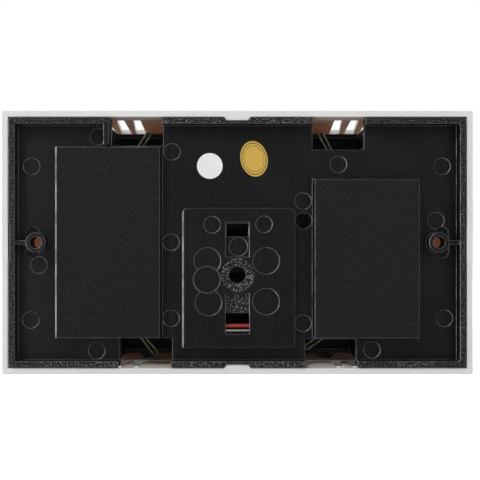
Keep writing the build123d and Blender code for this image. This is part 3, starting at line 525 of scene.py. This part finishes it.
for note, side, hole_high, peg_high, peg_low in (
        ("low", 1, 0.0340, (0.0395, 0.0476), (0.0364, -0.0488)),
        ("high", -1, 0.02566, (-0.0370, 0.0476), (-0.0308, -0.0462))):
    for where, hole_z, (peg_x, peg_z), body, room in (
            ("upper", hole_high, peg_high, note + "_bar", 0),
            ("lower", LOWER_HOLE_Z, peg_low, "base", LOWER_KNOT_ROOM)):
        up = 1 if peg_z > 0 else -1
        outside = side * (BEHIND_BAR + room)
        mouth = side * BAR_MOUTH
        peg = Vector((peg_x, 0, peg_z))
        reach = (peg - Vector((mouth, 0, hole_z))).normalized()
        across = Vector((reach.z, 0, -reach.x))
        if across.z * up < 0:
            across = -across
        over = STRAND_RISE * up
        route = [
            (outside, hole_z + over), (mouth + side * ENTRY, hole_z + over),
            (mouth - side * EXIT, hole_z + over),
            (peg + across * LOOP - reach * LOOP), (peg + across * LOOP + reach * LOOP),
            (peg - across * LOOP + reach * LOOP), (peg - across * LOOP - reach * LOOP),
            (mouth - side * EXIT, hole_z - over),
            (mouth + side * ENTRY, hole_z - over), (outside, hole_z - over),
        ]
        spots = [(p[0], AXIS_Y, p[1]) if len(p) == 2 else (p.x, AXIS_Y, p.z) for p in route]
        cord = wire_curve(note + "_bar_" + where + "_cord", spots, CORD_RADIUS, sides=4)
        knot_spots = []
        for step in range(KNOT_STEPS + 1):
            angle = 2 * pi * step / KNOT_STEPS
            knot_spots.append((outside + side * (KNOT_CENTRE + KNOT_WAVE * sin(3 * angle)),
                               AXIS_Y + KNOT_SIZE * (cos(angle) - 2 * cos(2 * angle)),
                               hole_z + KNOT_SIZE * (sin(angle) + 2 * sin(2 * angle))))
        knot = wire_curve(note + "_bar_" + where + "_knot", knot_spots, KNOT_THICKNESS, sides=4)
        for piece in (cord, knot):
            piece.data.materials.append(cord_finish)
            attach(piece, body)
        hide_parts(note + "_" + where + "_cord")

# Grey felt pads are glued to the plate's stop ribs. They keep the bars off the plastic, so that
# they don't rattle.
felt, shader, place = new_material("grey_felt", (0.20, 0.19, 0.18, 1), 0.95)
fibres = speckle(felt, place, 1500, 6.0)
colour = tint(felt, fibres, (0.13, 0.12, 0.11, 1), (0.30, 0.28, 0.26, 1))
join(felt, colour, shader.inputs["Base Color"])
shader.inputs["Sheen Weight"].default_value = 0.4
relief(felt, shader, fibres, 0.0002)
dress(felt, "felt", "stop_pads")

# The terminal block is black phenolic, with nickel-plated brass screws and square washers, and
# zinc-plated screws hold it and the yokes to the base plate.
phenolic, shader, place = new_material("black_phenolic", (0.022, 0.020, 0.019, 1), 0.38)
flecks = speckle(phenolic, place, 200)
colour = tint(phenolic, flecks, (0.018, 0.016, 0.015, 1), (0.034, 0.031, 0.029, 1))
join(phenolic, colour, shader.inputs["Base Color"])
relief(phenolic, shader, speckle(phenolic, place, 900), 0.00002, edge=0.0003)
dress(phenolic, "terminal_plastic", "terminal_block")

brass, shader, place = new_material("plated_brass", (0.66, 0.52, 0.28, 1), 0.3, 1.0)
colour = tint(brass, speckle(brass, place, 300), (0.58, 0.45, 0.22, 1), (0.74, 0.61, 0.36, 1))
join(brass, colour, shader.inputs["Base Color"])
relief(brass, shader, speckle(brass, place, 900), 0.00002, edge=0.00025)
dress(brass, "brass", "terminal_screws", "clamp_washers")

screw_zinc, shader, place = new_material("zinc_plated_screw", (0.58, 0.58, 0.57, 1), 0.3, 1.0)
plated = speckle(screw_zinc, place, 400)
colour = tint(screw_zinc, plated, (0.50, 0.50, 0.50, 1), (0.66, 0.66, 0.64, 1))
join(screw_zinc, colour, shader.inputs["Base Color"])
relief(screw_zinc, shader, speckle(screw_zinc, place, 900), 0.00002, edge=0.00025)
dress(screw_zinc, "screw_steel", "yoke_screws", "block_screws")


# Four insulated leads run from the windings to the terminals. The red one crosses the lower
# opening of the pad, close behind it.
def insulation(name, dark, light):
    material, shader, place = new_material(name, light, 0.4)
    join(material, tint(material, speckle(material, place, 350), dark, light), shader.inputs["Base Color"])
    relief(material, shader, speckle(material, place, 1400), 0.00002)
    return material


red_plastic = insulation("red_insulation", (0.36, 0.020, 0.014, 1), (0.48, 0.036, 0.024, 1))
grey_plastic = insulation("grey_insulation", (0.16, 0.16, 0.16, 1), (0.24, 0.24, 0.24, 1))
LEAD_RADIUS = 0.00085
MILLIMETRES = 1000
RED_ROUTE = [
    (9.5, 9.9, -24.8), (9.5, 6.6, -24.8), (9.5, 6.6, -30.0), (9.5, 6.6, -35.2), (4.0, 6.6, -35.2),
    (-6.0, 6.6, -35.2), (-15.7, 6.6, -35.2), (-15.7, 6.6, -26.0), (-15.7, 6.6, -16.0),
    (-15.7, 6.6, -6.5), (-15.7, 15.0, -6.5), (-15.7, 25.85, -6.5),
]
REAR_ROUTE = [(11, 21.2, -13.4), (11, 21.2, -7.5), (11, 25.85, -7.5)]
FRONT_ROUTE = [(5, 21.2, 0.4), (5, 21.2, -5.5), (5, 25.85, -5.5)]
COMMON_ROUTE = [(-6, 21.2, 0.4), (-6, 21.2, -5.5), (-6, 25.85, -5.5)]
for name, route, finish, slot in (
        ("red_lead", RED_ROUTE, red_plastic, "red_insulation"),
        ("rear_lead", REAR_ROUTE, grey_plastic, "grey_insulation"),
        ("front_lead", FRONT_ROUTE, grey_plastic, "grey_insulation"),
        ("common_lead", COMMON_ROUTE, grey_plastic, "grey_insulation")):
    spots = [(x / MILLIMETRES, -depth / MILLIMETRES, z / MILLIMETRES) for x, depth, z in route]
    lead = wire_curve(name + "_wire", spots, LEAD_RADIUS, sides=5)
    lead.data.materials.append(finish)
    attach(lead, "base")
    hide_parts(name)

# The cover is a thin box of white polystyrene, satin outside. Light comes through its walls, and
# the inside is painted warm as painted light for it, paler near the back band and the low wall. The
# middle of the front, which the coils shade, carries a soft round painted shade.
WHITE = (0.80, 0.80, 0.79, 1)
PAINTED_WARM_LIGHT = (0.64, 0.48, 0.40, 1)
PAINTED_WARM_LIGHT_BLOTCH = (0.70, 0.55, 0.47, 1)
PAINTED_NEAR_WALL_LIGHT = (0.78, 0.68, 0.63, 1)
PAINTED_COIL_SHADE = (0.27, 0.20, 0.17, 1)
COVER_INSIDE = ((-0.0952, -0.0526, -0.0522), (0.0952, -0.0012, 0.0522))
BACK_BAND = ((-0.0952, -0.0085, -0.0522), (0.0952, 0.001, 0.0522))
LOW_WALL = ((-0.0952, -0.0300, -0.0522), (0.0952, 0.001, -0.0480))
THIN_WALLS = ((-0.1000, -0.0560, -0.0560), (0.1000, -0.0120, 0.0560))
FRONT_WALL = ((-0.0952, -0.0560, -0.0522), (0.0952, -0.0400, 0.0522))
SHADE_RADIUS = 0.075
LIGHT_THROUGH = 0.65
white, shader, place = new_material("white_polystyrene", WHITE, 0.38)
shader.inputs["Subsurface Radius"].default_value = (1.0, 0.82, 0.72)
shader.inputs["Subsurface Scale"].default_value = 0.007
mottled = tint(white, speckle(white, place, 12, 3.0), (0.79, 0.79, 0.78, 1), (0.83, 0.83, 0.82, 1))
inside = block_mask(white, place, *COVER_INSIDE)
painted_near_wall_light = compute(white, "MAXIMUM",
                    block_mask(white, place, *BACK_BAND), block_mask(white, place, *LOW_WALL))
# Painted light: the inside is coloured warm for light through the walls, paler near the back band and low
# wall.
painted_warm_light = tint(white, speckle(white, place, 90, 3.0), PAINTED_WARM_LIGHT, PAINTED_WARM_LIGHT_BLOTCH)
painted_warm_light = blend_colours(white, painted_near_wall_light, painted_warm_light, PAINTED_NEAR_WALL_LIGHT)
thin = block_mask(white, place, *THIN_WALLS)
front_wall = block_mask(white, place, *FRONT_WALL)
# Painted shade: a soft dark round patch on the inside of the front, behind the coils.
painted_shade_round = round_distance(white, place, (0, 0, 0), SHADE_RADIUS, SHADE_RADIUS)
painted_shade_round = tint(white, painted_shade_round, (1, 1, 1, 1), (0, 0, 0, 1), 0.42, 1.0)
painted_shade_middle = compute(white, "MULTIPLY", front_wall, painted_shade_round)
painted_warm_light = blend_colours(white, painted_shade_middle, painted_warm_light, PAINTED_COIL_SHADE)
join(white, blend_colours(white, inside, mottled, painted_warm_light), shader.inputs["Base Color"])
thin = compute(white, "MULTIPLY", thin, compute(white, "SUBTRACT", 1.0, painted_shade_middle))
join(white, compute(white, "MULTIPLY", thin, LIGHT_THROUGH), shader.inputs["Subsurface Weight"])
relief(white, shader, speckle(white, place, 1100, 2.0), 0.00003, 0.5, edge=0.0004)
dress(white, "white", "cover")


# The box stands on its long side on a plain white floor, with a soft studio light. To the camera
# the floor is a little brighter, so that it fades into the white background but keeps the shadow.
def seen_rays(material):
    """1 for rays from the camera and through or off shiny things, 0 for light on the object."""
    rays = add(material, "ShaderNodeLightPath")
    seen = compute(material, "MAXIMUM", rays.outputs["Is Camera Ray"], rays.outputs["Is Glossy Ray"])
    return compute(material, "MAXIMUM", seen, rays.outputs["Is Transmission Ray"])


FLOOR_SIZE = 6
FLOOR_GAP = 0.0002
FLOOR_GLOW = 0.70
SKY_LIGHT = 0.30
bpy.ops.mesh.primitive_plane_add(size=FLOOR_SIZE, location=(0, 0, cad_box[0][2] - FLOOR_GAP))
floor = bpy.context.object
floor.name = "floor"
floor_finish, shader, place = new_material("white_floor", (0.9, 0.9, 0.9, 1), 0.9)
colour = tint(floor_finish, speckle(floor_finish, place, 3), (0.89, 0.89, 0.89, 1), (0.91, 0.91, 0.91, 1))
join(floor_finish, colour, shader.inputs["Base Color"])
glow = add(floor_finish, "ShaderNodeEmission")
glowing = compute(floor_finish, "MULTIPLY", seen_rays(floor_finish), FLOOR_GLOW)
join(floor_finish, glowing, glow.inputs["Strength"])
together = add(floor_finish, "ShaderNodeAddShader")
join(floor_finish, shader.outputs["BSDF"], together.inputs[0])
join(floor_finish, glow.outputs["Emission"], together.inputs[1])
join(floor_finish, together.outputs["Shader"],
     floor_finish.node_tree.nodes["Material Output"].inputs["Surface"])
floor.data.materials.append(floor_finish)

world = bpy.context.scene.world or bpy.data.worlds.new("World")
bpy.context.scene.world = world
world.use_nodes = True
world.node_tree.nodes.clear()
output = add(world, "ShaderNodeOutputWorld")
lit = add(world, "ShaderNodeBackground")
lit.inputs["Color"].default_value = (1, 1, 1, 1)
lit.inputs["Strength"].default_value = SKY_LIGHT
white_sky = add(world, "ShaderNodeBackground")
white_sky.inputs["Color"].default_value = (1, 1, 1, 1)
white_sky.inputs["Strength"].default_value = 1.0
choose = add(world, "ShaderNodeMixShader")
join(world, seen_rays(world), choose.inputs["Fac"])
join(world, lit.outputs["Background"], choose.inputs[1])
join(world, white_sky.outputs["Background"], choose.inputs[2])
join(world, choose.outputs["Shader"], output.inputs["Surface"])


def lamp(name, spot, size, power):
    light = bpy.data.lights.new(name, "AREA")
    light.size = size
    light.energy = power
    piece = bpy.data.objects.new(name, light)
    bpy.context.scene.collection.objects.link(piece)
    piece.location = spot
    piece.rotation_euler = (-Vector(spot)).to_track_quat("-Z", "Y").to_euler()


lamp("key_lamp", (0.50, 0.62, 0.80), 0.25, 4.2)
lamp("side_lamp", (0.95, 0.12, 0.30), 0.20, 2.4)
lamp("fill_lamp", (-0.8, 0.6, 0.4), 0.8, 2.6)
lamp("front_lamp", (0.3, -1.0, 0.7), 0.8, 5.5)

# The camera looks at the back of the box, as the photograph does, from 0.3 m. Its place and its
# lens set the box where the photograph has it.
camera_data = bpy.data.cameras.new("camera")
camera_data.lens = 54.4
camera_data.sensor_width = 36
camera_data.clip_start = 0.01
camera = bpy.data.objects.new("camera", camera_data)
bpy.context.scene.collection.objects.link(camera)
camera.location = (-0.0011, 0.300, 0.00103)
camera.rotation_euler = (radians(90), 0, radians(180))
bpy.context.scene.camera = camera

bpy.context.scene.view_settings.view_transform = "Standard"
